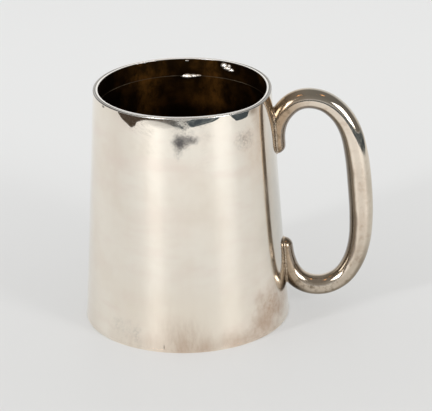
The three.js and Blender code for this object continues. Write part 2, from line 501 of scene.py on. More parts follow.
# %% Helper for groups
def new_group(name, inputs):
    group = bpy.data.node_groups.new(name, "ShaderNodeTree")
    for socket_name, kind, value in inputs:
        socket = group.interface.new_socket(socket_name, in_out="INPUT", socket_type=kind)
        if value is not None:
            socket.default_value = value
    group.interface.new_socket("Mask", in_out="OUTPUT", socket_type="NodeSocketFloat")
    source = group.nodes.new("NodeGroupInput")
    sink = group.nodes.new("NodeGroupOutput")
    return group, source.outputs, sink.inputs["Mask"]


def place_group(tree, group, sockets):
    node = tree.nodes.new("ShaderNodeGroup")
    node.node_tree = group
    return set_sockets(tree, node, sockets).outputs["Mask"]


FLOAT, VECTOR = "NodeSocketFloat", "NodeSocketVector"

# %% [markdown]
# Hand polishing leaves hair-fine scratches in all directions. Here they are the narrow crossing
# line of a noise that is stretched far out along one axis, and turned. They come in patches, as
# a cloth or a hand left them.

# %% Fine scratches
SCRATCH_LENGTH = (1.0, 1.0, 0.035)

scratch_inputs = [
    ("Vector", VECTOR, None),
    ("Turn", VECTOR, (0, 0, 0)),
    ("Fineness", FLOAT, 900.0),
    ("Width", FLOAT, 0.03),
]
fine_scratches, given, mask_out = new_group("fine_scratches", scratch_inputs)
tree = fine_scratches
turning = {"Vector": given["Vector"], "Rotation": given["Turn"]}
turned = add_node(tree, "VectorRotate", turning, rotation_type="EULER_XYZ").outputs[0]
lines = noise(tree, stretch(tree, turned, SCRATCH_LENGTH), given["Fineness"], 1.0)
line_mask = remap(tree, apart(tree, lines, 0.5), given["Width"], 0.0)
patch_mask = remap(tree, noise(tree, given["Vector"], 70.0, 2.0), 0.45, 0.68)
tree.links.new(product(tree, line_mask, patch_mask), mask_out)


def scratches_at(tree, place, turn):
    return place_group(tree, fine_scratches, {"Vector": place, "Turn": turn})


# %% [markdown]
# Tarnish comes as clouds that fade at their edges. A noise between two limits gives them: the
# lower the limits, the more of the metal is clouded.

# %% Clouds of tarnish
cloud_inputs = [
    ("Vector", VECTOR, None),
    ("Scale", FLOAT, 30.0),
    ("Low", FLOAT, 0.4),
    ("High", FLOAT, 0.7),
]
cloud, given, mask_out = new_group("tarnish_cloud", cloud_inputs)
puffs = noise(cloud, given["Vector"], given["Scale"], 4.0, 0.55)
cloud.links.new(remap(cloud, puffs, given["Low"], given["High"]), mask_out)


def clouds_at(tree, place, scale, low, high):
    return place_group(tree, cloud, {"Vector": place, "Scale": scale, "Low": low, "High": high})


# %% [markdown]
# Single stains stay where fingers, water or polish were. A painted picture could hold them, but it
# would need a layout of the whole surface. Here a stain is the inside of an ellipsoid on the
# metal, whose distance is disturbed by noise so that its edge is ragged. A finer noise leaves gaps
# in it.

# %% Stains
stain_inputs = [
    ("Vector", VECTOR, None),
    ("Centre", VECTOR, (0, 0, 0)),
    ("Size", VECTOR, (0.01, 0.01, 0.01)),
    ("Wander", FLOAT, 0.5),
    ("Mottle", FLOAT, 0.5),
    ("Grain", FLOAT, 600.0),
    ("Softness", FLOAT, 0.8),
]
stain, given, mask_out = new_group("stain", stain_inputs)
tree = stain
away = vector_sum(tree, "SUBTRACT", given["Vector"], given["Centre"])
distance = measure(tree, "LENGTH", vector_sum(tree, "DIVIDE", away, given["Size"]))
coarse = noise(tree, given["Vector"], product(tree, given["Grain"], 0.3), 3.0)
wander = product(tree, calculate(tree, "SUBTRACT", coarse, 0.5), given["Wander"])
edge = add_share(tree, distance, wander, 4.0)
blot = remap(tree, edge, 1.0, one_minus(tree, given["Softness"]))
fine = noise(tree, given["Vector"], given["Grain"], 6.0, 0.7)
gaps = product(tree, remap(tree, fine, 0.68, 0.32), given["Mottle"])
tree.links.new(product(tree, blot, one_minus(tree, gaps)), mask_out)

print("groups:", [group.name for group in bpy.data.node_groups])

# %% [markdown]
# A stain is written as one row of a list: its angle from the mug's front, its height and its half
# sizes in millimetres, how ragged it is, how mottled, how fine its grain is, its strength and its
# tint. A squash below one draws the grain out upright, as where water ran down. The same rows also
# lay painted light and shade, on the drum and inside the mug.


# %% Laying stains and painted light
def stain_mask(tree, place, shape, squash=1.0, softness=0.95, radius_at=drum_radius):
    azimuth, height, size, wander, mottle, grain = shape
    sockets = {
        "Vector": place,
        "Centre": from_front(azimuth, radius_at(height) * MM, height * MM * squash),
        "Size": (size[0] * MM, size[1] * MM, size[2] * MM * squash),
        "Wander": wander,
        "Mottle": mottle,
        "Grain": grain,
        "Softness": softness,
    }
    return place_group(tree, stain, sockets)


def add_stains_and_painted_light(tree, place, colour, stains, squash=1.0, radius_at=drum_radius):
    place = stretch(tree, place, (1.0, 1.0, squash))
    for *shape, strength, tint in stains:
        mask = stain_mask(tree, place, shape, squash, radius_at=radius_at)
        colour = mix_colours(tree, product(tree, mask, strength), colour, tint)
    return colour


# %% [markdown]
# All the metals end in the same shader. Bare silver needs only a colour, a haze and a fine relief.
# Heavy tarnish is more than a darker colour: it is a thin hard film over the metal, which still
# shines at a glancing view. A clear coat over the metal stands for the film.


# %% Metal shader
def finish_metal(tree, colour, roughness, height, relief, film=0.0, film_index=1.5):
    bump = add_node(tree, "Bump", {"Height": height, "Distance": relief, "Strength": 1.0})
    sockets = {
        "Base Color": colour,
        "Metallic": 1.0,
        "Roughness": roughness,
        "Normal": bump.outputs[0],
        "Coat Weight": film,
        "Coat IOR": film_index,
        "Coat Roughness": 0.08,
    }
    shader = add_node(tree, "BsdfPrincipled", sockets)
    add_node(tree, "OutputMaterial", {"Surface": shader.outputs[0]})


# %% [markdown]
# ## Silver of the drum
#
# The sheet was planished and polished by hand. Its metal is a warm white that goes cream with
# age in clouds and small blooms. Cloths left faint streaks: upright ones, and pinkish ones that
# run round the drum.

# %% Silver of the drum
SILVER_CLEAN = (0.985, 0.925, 0.825)
SILVER_WARM = (0.90, 0.80, 0.68)
SILVER_PINK = (0.93, 0.82, 0.73)
STREAK_SQUASH = (1.0, 1.0, 0.06)
WIPE_SQUASH = (0.25, 0.25, 1.0)

drum_silver, tree = new_material("drum_silver")
place = place_on_piece(tree)
upright = stretch(tree, place, STREAK_SQUASH)
streaks = clouds_at(tree, upright, 160.0, 0.42, 0.75)
clouds = clouds_at(tree, place, 28.0, 0.38, 0.72)
blooms = clouds_at(tree, place, 75.0, 0.46, 0.70)
wipes = clouds_at(tree, stretch(tree, place, WIPE_SQUASH), 150.0, 0.44, 0.72)
age = add_share(tree, product(tree, streaks, 0.16), clouds, 0.38)
age = add_share(tree, age, blooms, 0.22)
colour = mix_colours(tree, age, SILVER_CLEAN, SILVER_WARM)
colour = mix_colours(tree, product(tree, wipes, 0.50), colour, SILVER_PINK)

# %% [markdown]
# Brown tarnish sits low on the drum and beside the handle, where cloths miss. Black sulphide sits in
# a smudge under the lip and in a few specks. The first row, and those that are 90 or more in half
# height, only tint a whole side of the drum. Some rows are painted light and shade rather than
# stains: the three upright rows at 62 to 80 degrees paint the dark reflection of the handle and of
# the shaded floor beside it, the row at -92 degrees paints the pale reflection of the floor behind
# at the left, and the brown row at 50.5 degrees high up paints part of a dark patch under the lip.

# %% Stains and painted light of the drum
TARNISH_BROWN = (0.58, 0.42, 0.31)
TARNISH_DARK = (0.085, 0.08, 0.085)

drum_stains_and_painted_light = [
    # azimuth, height, size, wander, mottle, grain, strength, tint
    (0, 14, (62, 40, 26), 0.1, 0.1, 120, 0.40, (0.985, 0.875, 0.72)),
    (57, 105, (7, 7, 22), 0.3, 0.4, 300, 0.75, (0.46, 0.32, 0.21)),
    # painted reflection: these three upright rows darken the drum's right for the handle and the
    # shaded floor that it mirrors
    (62, 72, (5, 5, 50), 0.2, 0.4, 300, 0.50, (0.58, 0.41, 0.27)),
    (66, 60, (20, 24, 90), 0.1, 0.2, 120, 0.55, (0.80, 0.68, 0.54)),
    (80, 55, (30, 30, 95), 0.15, 0.2, 120, 0.90, (0.60, 0.585, 0.54)),
    # painted reflection of the pale floor behind at the left
    (-92, 55, (20, 20, 90), 0.15, 0.2, 120, 0.50, (0.84, 0.86, 0.87)),
    (50, 92, (15, 15, 24), 0.35, 0.5, 260, 0.55, (0.80, 0.64, 0.50)),
    (-47, 90, (12, 12, 22), 0.35, 0.5, 260, 0.22, (0.84, 0.66, 0.56)),
    (0, 88, (18, 12, 8), 0.35, 0.5, 260, 0.18, (0.84, 0.66, 0.56)),
    (56, 13, (17, 17, 15), 0.35, 0.5, 420, 0.95, TARNISH_BROWN),
    (48, 8, (10, 10, 9), 0.35, 0.5, 500, 0.80, TARNISH_BROWN),
    (40, 2, (30, 30, 7), 0.3, 0.5, 420, 0.60, TARNISH_BROWN),
    (74, 15, (15, 15, 15), 0.35, 0.5, 420, 0.60, TARNISH_BROWN),
    # painted reflection: part of a dark patch under the lip
    (50.5, 111.9, (6.0, 6.0, 3.8), 0.2, 0.3, 500, 0.90, (0.34, 0.26, 0.19)),
    (-30, 7, (4, 4, 9), 0.4, 1.0, 1100, 0.22, TARNISH_DARK),
    (-40, 9, (9, 9, 6), 0.4, 1.0, 900, 0.16, TARNISH_DARK),
    (-1.3, 103.0, (5.6, 5.6, 5.8), 0.25, 0.85, 1700, 0.95, TARNISH_DARK),
    (-1.6, 102.8, (4.2, 4.2, 4.2), 0.15, 0.25, 1500, 1.0, TARNISH_DARK),
    (5.2, 103.8, (5.6, 4.0, 2.8), 0.2, 0.5, 1700, 0.95, TARNISH_DARK),
    (-2.5, 98.8, (3.2, 3.2, 5.5), 0.25, 0.9, 1500, 0.45, TARNISH_DARK),
    (0, 105.5, (8, 8, 5.5), 0.35, 0.9, 1300, 0.45, TARNISH_DARK),
    (42, 100, (7.5, 7.5, 6.5), 0.3, 1.0, 1100, 0.60, (0.30, 0.25, 0.22)),
    (-60, 113.2, (1.5, 1.5, 0.8), 0.2, 0.2, 900, 1.0, TARNISH_DARK),
    (-13, 2.6, (0.45, 0.8, 1.8), 0.1, 0.2, 900, 1.0, TARNISH_DARK),
]
drum_runs = [
    (-2, 5, (18, 18, 20), 0.3, 0.45, 420, 0.62, TARNISH_BROWN),
    (8, 1, (24, 18, 8), 0.3, 0.5, 420, 0.45, TARNISH_BROWN),
    (-24, 1, (30, 26, 9), 0.3, 0.5, 400, 0.30, TARNISH_BROWN),
    (24, 3, (26, 22, 9), 0.3, 0.5, 400, 0.35, TARNISH_BROWN),
]
colour = add_stains_and_painted_light(tree, place, colour, drum_stains_and_painted_light)
colour = add_stains_and_painted_light(tree, place, colour, drum_runs, squash=0.3)

print("drum stains:", len(drum_stains_and_painted_light) + len(drum_runs))

# %% [markdown]
# The haze of fine wear makes the mirror soft. It is least high up, where the drum is wiped most,
# and more in two dull smears under the lip, which turn the dark patches there a cloudy grey. The
# hammer left very slight waves in the sheet, drawn out upright by the burnisher.

# %% Haze and waves of the drum
HAZE_SMEARS = [
    # azimuth, height, size, wander, mottle, grain, haze
    (-12, 112.0, (13.0, 6.0, 3.6), 0.2, 0.3, 500, 0.17),
    (1, 111.5, (4.5, 4.5, 3.4), 0.4, 0.8, 1300, 0.36),
]
DRUM_RELIEF = 0.0001

scratch_a = scratches_at(tree, place, (0.4, 0.9, 0.2))
scratch_b = scratches_at(tree, place, (-0.8, 0.3, 1.1))
scratches = calculate(tree, "MAXIMUM", scratch_a, scratch_b)
burnished = remap(tree, along(tree, place, "Z"), 0.060, 0.108)
haze = add_share(tree, 0.10, clouds, 0.04)
haze = add_share(tree, haze, blooms, 0.03)
haze = add_share(tree, haze, burnished, -0.06)
haze = add_share(tree, haze, scratches, 0.08)
for *shape, strength in HAZE_SMEARS:
    haze = add_share(tree, haze, stain_mask(tree, place, shape, softness=0.8), strength)
ripples = noise(tree, upright, 70.0, 1.0)
waves = add_share(tree, noise(tree, place, 45.0, 1.5), ripples, 1.6)
waves = add_share(tree, waves, scratches, -0.02)
finish_metal(tree, colour, haze, waves, DRUM_RELIEF)

# %% [markdown]
# ## Tarnish and painted light inside
#
# Nobody polishes the inside, so it has gone nearly black, with amber where the tarnish is thin and
# lets the metal through. It is rough, so it mirrors nothing sharply. Light and shade are painted on
# top of that: two upright amber patches at the back left and back right are painted reflections of
# the softboxes in the rough wall, the left side is painted darkest as painted shade, and a fine
# light line along the lower edge of the lip band is a painted highlight where that edge catches the
# light.

# %% Inside tarnish and painted light
INSIDE_DARK = (0.034, 0.017, 0.006)
INSIDE_PAINTED_SHADE = (0.010, 0.005, 0.002)
INSIDE_AMBER = (0.62, 0.27, 0.055)
INSIDE_EDGE_HIGHLIGHT = (0.80, 0.66, 0.48)
BAND_EDGE_HEIGHT = 0.1053
INSIDE_RELIEF = 0.00003

inside_tarnish_and_painted_light, tree = new_material("inside_tarnish_and_painted_light")
place = place_on_piece(tree)
runs = clouds_at(tree, stretch(tree, place, STREAK_SQUASH), 60.0, 0.5, 0.8)
blotches = clouds_at(tree, place, 90.0, 0.45, 0.75)
amber = add_share(tree, product(tree, blotches, 0.16), runs, 0.03)
colour = mix_colours(tree, amber, INSIDE_DARK, INSIDE_AMBER)
painted_inside_light_and_shade = [
    # azimuth, height, size, wander, mottle, grain, strength, tint
    # painted shade: the left side of the inside is made darkest
    (-108, 95, (36, 36, 60), 0.2, 0.1, 700, 0.95, INSIDE_PAINTED_SHADE),
    # painted reflections: the softboxes seen softly in the rough back wall, as amber patches at the
    # back left and back right
    (-157, 97, (11, 11, 28), 0.6, 0.8, 500, 0.36, INSIDE_AMBER),
    (-155, 98, (6, 6, 14), 0.6, 0.8, 600, 0.40, INSIDE_AMBER),
    (-152, 105, (8, 8, 6), 0.6, 0.6, 700, 0.42, INSIDE_AMBER),
    (159, 98, (11, 11, 28), 0.6, 0.8, 500, 0.30, INSIDE_AMBER),
    (158, 99, (7, 7, 16), 0.6, 0.8, 600, 0.42, INSIDE_AMBER),
    (163, 92, (15, 10, 5), 0.6, 0.6, 700, 0.35, INSIDE_AMBER),
]
colour = add_stains_and_painted_light(tree, place, colour, painted_inside_light_and_shade, squash=0.6, radius_at=lining_radius)
height = along(tree, place, "Z")
# painted highlight: a fine light line along the lower edge of the lip band, where the edge catches
# the light
at_edge = remap(tree, apart(tree, height, BAND_EDGE_HEIGHT), 0.0004, 0.0001)
painted_edge_highlight = product(tree, at_edge, add_share(tree, 0.25, blotches, 0.5))
colour = mix_colours(tree, painted_edge_highlight, colour, INSIDE_EDGE_HIGHLIGHT)
finish_metal(tree, colour, add_share(tree, 0.48, blotches, 0.1), blotches, INSIDE_RELIEF)

# %% [markdown]
# ## Silver of the lip
#
# The lip is rubbed at every use, so it is the whitest part of the mug. Dirt stays in the fine seam
# on its flat top, where the band meets the edge of the sheet. Outside the seam, at the left and
# right, the edge is drawn darker.

# %% Lip silver
LIP_BRIGHT = (0.975, 0.96, 0.93)
LIP_SIDE_DARK = (0.34, 0.33, 0.31)
SEAM_DIRT = (0.16, 0.14, 0.12)
SEAM_RADIUS = 40.75
SEAM_HALF_WIDTH = 0.15
LIP_RELIEF = -0.000002

lip_silver, tree = new_material("lip_silver")
place = place_on_piece(tree)
clouds = clouds_at(tree, place, 120.0, 0.4, 0.7)
colour = mix_colours(tree, product(tree, clouds, 0.25), LIP_BRIGHT, SILVER_WARM)
across_x = calculate(tree, "SUBTRACT", along(tree, place, "X"), axis_x)
across = add_node(tree, "CombineXYZ", {"X": across_x, "Y": along(tree, place, "Y")}).outputs[0]
reach = measure(tree, "LENGTH", across)
# outside the seam the lip's edge is drawn darker towards the left and right
to_side = remap(tree, calculate(tree, "ABSOLUTE", across_x), 0.022, 0.036)
darker_side_edge = product(tree, to_side, remap(tree, reach, 0.0402, 0.0405), 0.9)
colour = mix_colours(tree, darker_side_edge, colour, LIP_SIDE_DARK)
off_seam = apart(tree, reach, SEAM_RADIUS * MM)
seam = remap(tree, off_seam, SEAM_HALF_WIDTH * MM, 0.5 * SEAM_HALF_WIDTH * MM)
colour = mix_colours(tree, product(tree, seam, 0.7), colour, SEAM_DIRT)
scratches = scratches_at(tree, place, (1.3, 0.2, 0.4))
finish_metal(tree, colour, add_share(tree, 0.22, scratches, 0.06), scratches, LIP_RELIEF)

# %% [markdown]
# ## Silver of the handle
#
# The handle is held, not polished, and its metal is warmer than the drum's. Two things decide how
# dark it is at a point: where the point lies, and how far it faces into the loop. The tube's mesh
# carries the second as an attribute called inward, which is one on the side towards the middle of
# the loop and minus one on the outside.

# %% Silver of the handle
HANDLE_CLEAN = (0.93, 0.82, 0.69)
HANDLE_WARM = (0.66, 0.50, 0.375)
HANDLE_DULL = (0.60, 0.545, 0.45)

handle_silver, tree = new_material("handle_silver")
place = place_on_piece(tree)
height = along(tree, place, "Z")
reach = calculate(tree, "SUBTRACT", along(tree, place, "X"), axis_x)
inward = add_node(tree, "Attribute", attribute_name="inward").outputs["Fac"]
clouds = clouds_at(tree, place, 55.0, 0.4, 0.72)
speckles = clouds_at(tree, place, 330.0, 0.48, 0.72)
age = add_share(tree, product(tree, speckles, 0.38), clouds, 0.42)
colour = mix_colours(tree, age, HANDLE_CLEAN, HANDLE_WARM)
faces_out = product(tree, remap(tree, inward, -0.30, -0.72), add_share(tree, 0.45, clouds, 0.35))
colour = mix_colours(tree, faces_out, colour, HANDLE_DULL)

# %% [markdown]
# A cloth doesn't reach the inside of the loop or the corner at the wall. There the tarnish builds
# up from amber to brown, and in a band along the middle of the inside nearly to black. The band's
# edge wanders with the clouds, and it is widest where the hand's fingers end, low on the grip.

# %% Tarnish in the loop
HANDLE_AMBER = (0.68, 0.47, 0.29)
HANDLE_BROWN = (0.17, 0.115, 0.062)
HANDLE_DEEP = (0.055, 0.035, 0.018)

low_grip = product(tree, remap(tree, height, 0.054, 0.034), remap(tree, height, 0.016, 0.030))
wandering = add_share(tree, add_share(tree, inward, clouds, 0.10), low_grip, 0.08)
low_bend = remap(tree, height, 0.027, 0.015)
unpolished = product(tree, remap(tree, wandering, 0.38, 0.60), add_share(tree, 1.0, low_bend, -0.5))
by_wall = remap(tree, reach, 0.060, 0.046)
near_wall = product(tree, by_wall, add_share(tree, 0.40, speckles, 0.40))
hidden = calculate(tree, "MAXIMUM", unpolished, near_wall)
above_bend = remap(tree, height, 0.022, 0.036)
deepest = product(tree, remap(tree, wandering, 0.62, 0.84), above_bend, one_minus(tree, by_wall))
colour = mix_colours(tree, product(tree, by_wall, 0.8), colour, HANDLE_AMBER)
colour = mix_colours(tree, product(tree, hidden, 0.92), colour, HANDLE_BROWN)
colour = mix_colours(tree, product(tree, deepest, 0.6), colour, HANDLE_DEEP)

# %% [markdown]
# Three more places are dark. The low bend is olive brown in blotches, most on its underside, which
# is near the table and never wiped. That darker underside is also painted shade, for the shaded
# floor that it mirrors. The corner under the lower tail is the darkest: a dark joint with painted
# shade over it, where the bend meets the wall. The tip of the upper tail has a brown rim, where the
# solder begins.

# %% Tarnish and painted shade low on the handle
HANDLE_OLIVE = (0.25, 0.20, 0.135)

blotchy = product(tree, speckles, add_share(tree, 0.15, low_bend, 0.50))
faces_down = remap(tree, inward, 0.60, 0.0)
near_floor = remap(tree, height, 0.052, 0.020)
# painted shade with tarnish: the underside is darkened for the shaded floor that it mirrors
under = product(tree, near_floor, faces_down, calculate(tree, "ADD", blotchy, 0.38))
underside_tarnish_and_shade = product(tree, remap(tree, height, 0.040, 0.018), remap(tree, inward, -0.28, -0.68), 0.85)
joint_side = remap(tree, reach, 0.060, 0.051)
# painted shade in the corner where the low bend meets the wall, over a dark joint
corner = product(tree, remap(tree, height, 0.027, 0.017), joint_side, remap(tree, inward, 0.0, -0.6))
tip = product(tree, remap(tree, height, 0.0835, 0.0815), remap(tree, height, 0.070, 0.075))
colour = mix_colours(tree, under, colour, HANDLE_OLIVE)
colour = mix_colours(tree, underside_tarnish_and_shade, colour, HANDLE_OLIVE)
colour = mix_colours(tree, corner, colour, HANDLE_DEEP)
colour = mix_colours(tree, product(tree, tip, by_wall, 0.7), colour, HANDLE_BROWN)

# %% [markdown]
# On top of the upper bend the metal is painted a cool grey, a painted reflection of the grey-brown
# ceiling that the top faces. The grey fades out towards the tail.

# %% Painted grey reflection on the upper bend
HANDLE_TOP_REFLECTION_GREY = (0.46, 0.44, 0.395)

# painted reflection: grey on the top of the upper bend stands for the ceiling mirrored there
over = product(tree, remap(tree, height, 0.095, 0.107), remap(tree, inward, 0.2, -0.7), 0.75)
from_tail = add_share(tree, 0.35, remap(tree, reach, 0.052, 0.066), 0.65)
over = product(tree, over, add_share(tree, 1.0, by_wall, -0.7), from_tail)
colour = mix_colours(tree, over, colour, HANDLE_TOP_REFLECTION_GREY)

# %% [markdown]
# The tarnish is hazier than the bare metal. Where it is thick it is a film with a shine of its
# own, so the film lies over the unpolished inside of the loop, and thinly by the wall.

# %% Haze and film of the handle
FILM_INDEX = 2.1
HANDLE_RELIEF = 0.000006

haze = add_share(tree, 0.07, clouds, 0.06)
haze = add_share(tree, haze, speckles, 0.06)
haze = add_share(tree, haze, hidden, 0.10)
haze = add_share(tree, haze, near_wall, 0.12)
haze = add_share(tree, haze, scratches_at(tree, place, (0.2, 0.5, 0.7)), 0.08)
film = add_share(tree, product(tree, unpolished, 0.8), near_wall, 0.2)
finish_metal(tree, colour, haze, speckles, HANDLE_RELIEF, film, FILM_INDEX)

# %% [markdown]
# ## Solder
#
# Silver solder has zinc and copper in it, so it tarnishes browner than the metal round it, and it
# is grainy where nobody filed it. The smears inside the mug were wiped while hot and are brighter.
# One function makes both.


# %% Solder
def make_solder(name, scale, light, dark, least_haze, more_haze, relief):
    material, tree = new_material(name)
    grains = clouds_at(tree, place_on_piece(tree), scale, 0.4, 0.7)
    colour = mix_colours(tree, grains, light, dark)
    haze = add_share(tree, least_haze, grains, more_haze)
    finish_metal(tree, colour, haze, grains, relief)
    return material


solder_silver = make_solder(
    "solder_silver", 700.0, (0.56, 0.46, 0.35), (0.36, 0.27, 0.19), 0.22, 0.15, 0.00002
)
smear_silver = make_solder(
    "smear_silver", 900.0, (0.93, 0.89, 0.84), (0.72, 0.64, 0.54), 0.33, 0.14, 0.00003
)


# %% [markdown]
# ## Turning
#
# A silversmith turns or rolls the round pieces. In Blender the same is done by drawing one half
# of the section as a closed line and spinning it round the axis. The spin comes back to its own
# start, so it is merged there, and the normals are recalculated afterwards.

# %% Helpers for turned pieces
MERGE_WITHIN = 1e-6


def draw_section(points):
    """A bmesh with one closed line through points of (radius, height), in millimetres."""
    bm = bmesh.new()
    corners = [bm.verts.new((axis_x + radius * MM, 0, height * MM)) for radius, height in points]
    edges = [bm.edges.new(pair) for pair in zip(corners, corners[1:] + corners[:1])]
    return bm, corners, edges


def round_corners(bm, corners, radius, segments):
    bmesh.ops.bevel(
        bm,
        geom=corners,
        offset=radius * MM,
        offset_type="OFFSET",
        segments=segments,
        profile=0.5,
        affect="VERTICES",
        material=-1,
    )


def spin_round(bm, steps):
    bmesh.ops.spin(
        bm,
        geom=bm.verts[:] + bm.edges[:],
        cent=(axis_x, 0, 0),
        axis=(0, 0, 1),
        dvec=(0, 0, 0),
        angle=2 * math.pi,
        steps=steps,
        use_merge=True,
    )
    bmesh.ops.remove_doubles(bm, verts=bm.verts, dist=MERGE_WITHIN)
    bmesh.ops.recalc_face_normals(bm, faces=bm.faces)


# %% [markdown]
# A finished mesh is shaded smooth, apart from the edges that are sharp on the real piece. Then it
# becomes an object that rides with the mug and stands for its solids in the CAD model, which are
# hidden.

# %% Helpers for finished pieces
SHARP_FROM = 40


def shade(bm):
    for face in bm.faces:
        face.smooth = True
    for edge in bm.edges:
        edge.smooth = edge.calc_face_angle(0) < math.radians(SHARP_FROM)


def make_piece(name, bm, materials, nodes):
    piece = add_mesh(name, bm, materials)
    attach(piece, "root")
    if nodes:
        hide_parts(*nodes)


# %% [markdown]
# ## Drum wall
#
# The wall is a thin sheet, wider at the foot. Just under the lip it was hammered and burnished
# inwards onto the band by eye, so the top few millimetres lean in along a ragged line. The lean is
# only a few degrees, but a mirror doubles it: those patches look past the end of the paper into
# the dark room. Dark paint would do in the photograph's view, and be wrong in all others. The list
# gives the lower edge of the leaning patches, as an angle from the front and a depth below the top
# of the sheet. A depth of zero is a place that doesn't lean.

# %% Edge of the leaning patches
LEAN_EDGE = [
    (-180, 1.6), (-160, 0.6), (-150, 2.6), (-138, 1.2), (-128, 0), (-118, 0), (-104, 1.8),
    (-96, 3.2), (-84, 1.0), (-76, 0), (-61.5, 0), (-60, 0.6), (-58.5, 0), (-44.2, 0), (-43.2, 0.8),
    (-40.4, 2.6), (-36.8, 3.9), (-33.4, 5.5), (-31.5, 4.6), (-30.4, 4.1), (-29.7, 2.3),
    (-26.9, 1.3), (-24.2, 0.6), (-22.5, 0.45), (-16.0, 0.45), (-13.3, 0.9), (-9.5, 1.4),
    (-5.3, 2.5), (-1.4, 3.1), (0.2, 4.0), (1.8, 3.4), (2.9, 2.2), (3.9, 2.0), (4.9, 2.8),
    (6.5, 3.2), (8.9, 2.8), (15.3, 2.0), (20.4, 1.4), (22.8, 0.7), (24.4, 0), (30.6, 0),
    (32.1, 0.5), (33.4, 1.7), (36.1, 3.7), (40.7, 3.9), (45.2, 3.6), (46.9, 1.2), (51.7, 1.0),
    (54, 0), (70, 0), (82, 1.4), (95, 2.2), (108, 0.6), (116, 0), (130, 0), (140, 2.2),
    (152, 3.4), (160, 1.2), (170, 0.9), (180, 1.6),
]


def lean_depth(azimuth):
    for (low, low_depth), (high, high_depth) in zip(LEAN_EDGE, LEAN_EDGE[1:]):
        if azimuth <= high:
            share = (azimuth - low) / (high - low)
            return low_depth + share * (high_depth - low_depth)
    return LEAN_EDGE[-1][1]


print("leaning patches go down to", max(depth for _, depth in LEAN_EDGE), "mm below the sheet's top")

# %% [markdown]
# Years of use have knocked the rim down a little at the right, and less at the back. Each dip is a
# smooth bell in the angle. Sheet and lip band go down together, so the same helper presses both:
# it slides each point near the top down along the cone, which keeps the wall as thick as it was.

# %% Dips in the rim
LEAN_TOP = 113.6
DIP_FROM = 106.0
DIP_AT = 58
DIP_WIDTH = 34
DIP_DEPTH = 1.45
BACK_DIP_WIDTH = 30
BACK_DIP_DEPTH = 0.3


def azimuth_of(point):
    return math.degrees(math.atan2(point.x - axis_x, -point.y))


def bell(distance, width):
    return math.exp(-((distance / width) ** 2))


def dip(azimuth):
    right = DIP_DEPTH * bell(azimuth - DIP_AT, DIP_WIDTH)
    behind = BACK_DIP_DEPTH * bell(180 - abs(azimuth), BACK_DIP_WIDTH)
    return right + behind


def press_down(bm):
    for vert in bm.verts:
        share = min(max((vert.co.z / MM - DIP_FROM) / (LEAN_TOP - DIP_FROM), 0), 1)
        drop = dip(azimuth_of(vert.co)) * share
        out = Vector((vert.co.x - axis_x, vert.co.y, 0)).normalized()
        vert.co += (out * (FOOT_RADIUS - LIP_RADIUS) / HEIGHT - Vector((0, 0, 1))) * drop * MM


print("rim is pressed down by", round(dip(DIP_AT), 2), "mm at the right")

# %% [markdown]
# The lean starts softly, so its bend is a hyperbola: flat below the line, and a straight lean
# above it. Straight in front the last millimetre curls in further still, and mirrors the grey wall
# above the dark room.

# %% Lean and curl of the sheet
LEAN_SLOPE = math.tan(math.radians(4.0))
LEAN_ROUND = 0.25
CURL_FROM = 112.7
CURL_RADIUS = 9.0
CURL_AT = 0.5
CURL_WIDTH = 6.0


def lean_in(azimuth, height):
    """How far in the sheet's outer face lies at a place, in millimetres."""
    depth = lean_depth(azimuth)
    if depth == 0:
        return 0
    above = height - (LEAN_TOP - depth)
    lean = (math.hypot(above, LEAN_ROUND) + above) / 2 * LEAN_SLOPE
    curl = max(0, height - CURL_FROM) ** 2 / (2 * CURL_RADIUS)
    return lean + curl * bell(azimuth - CURL_AT, CURL_WIDTH)


print("at the front the sheet's top leans in by", round(lean_in(0, LEAN_TOP), 2), "mm")

# %% [markdown]
# The section is drawn by its corners and cut into rows, finely in the top centimetre. It is spun
# in steps of half a degree, because the ragged line needs points to bend at. Subdividing the whole
# wall would do as well, but with far more faces.

# %% Drum wall
WALL_LOW = 1.4
WALL_HIGH = 113.95
FINE_ROWS_FROM = 103
FINE_ROWS = 42
COARSE_ROWS = 7
WALL_STEPS = 720

bm, corners, edges = draw_section(
    [
        (drum_radius(WALL_LOW), WALL_LOW),
        (drum_radius(FINE_ROWS_FROM), FINE_ROWS_FROM),
        (drum_radius(WALL_HIGH), WALL_HIGH),
        (drum_radius(WALL_HIGH) - WALL, WALL_HIGH),
        (drum_radius(WALL_LOW) - WALL, WALL_LOW),
    ]
)
bmesh.ops.subdivide_edges(bm, edges=[edges[1]], cuts=FINE_ROWS)
bmesh.ops.subdivide_edges(bm, edges=[edges[0], edges[3]], cuts=COARSE_ROWS)
spin_round(bm, WALL_STEPS)
press_down(bm)
for vert in bm.verts:
    out = Vector((vert.co.x - axis_x, vert.co.y, 0))
    height = vert.co.z / MM
    on_outside = out.length > (drum_radius(height) - WALL / 2) * MM
    if on_outside and height > FINE_ROWS_FROM:
        vert.co -= out.normalized() * lean_in(azimuth_of(vert.co), height) * MM
for face in bm.faces:
    centre = face.calc_center_median()
    reach = math.hypot(centre.x - axis_x, centre.y) / MM
    face.material_index = int(reach < drum_radius(centre.z / MM) - WALL / 2)
shade(bm)
make_piece("drum_wall", bm, [drum_silver, inside_tarnish_and_painted_light], ["body_wall"])

# %% [markdown]
# ## Lip band
#
# A band of thicker silver lines the inside of the mouth. Its top is wider than the band and covers
# the edge of the sheet. It is flat, with rounded corners and a fine seam round it. A half-round
# bead would be quicker to draw, but it mirrors the lamps as a single line, where the flat top
# shows as a pale ring. The side that faces into the mug is as dark as the rest of the inside.

# %% Lip band
BAND_LOW = 105.2
BAND_THICKNESS = 1.2
LIP_INNER = 39.5
LIP_TOP = 114.5
LIP_OUTER_ROUND = 0.45
LIP_INNER_ROUND = 0.25
SEAM_DEPTH = 0.15
SEAM_ROUND = 0.06
ROUND_STEPS = 360
MOSTLY = 0.6
TOP_EDGE = 0.2

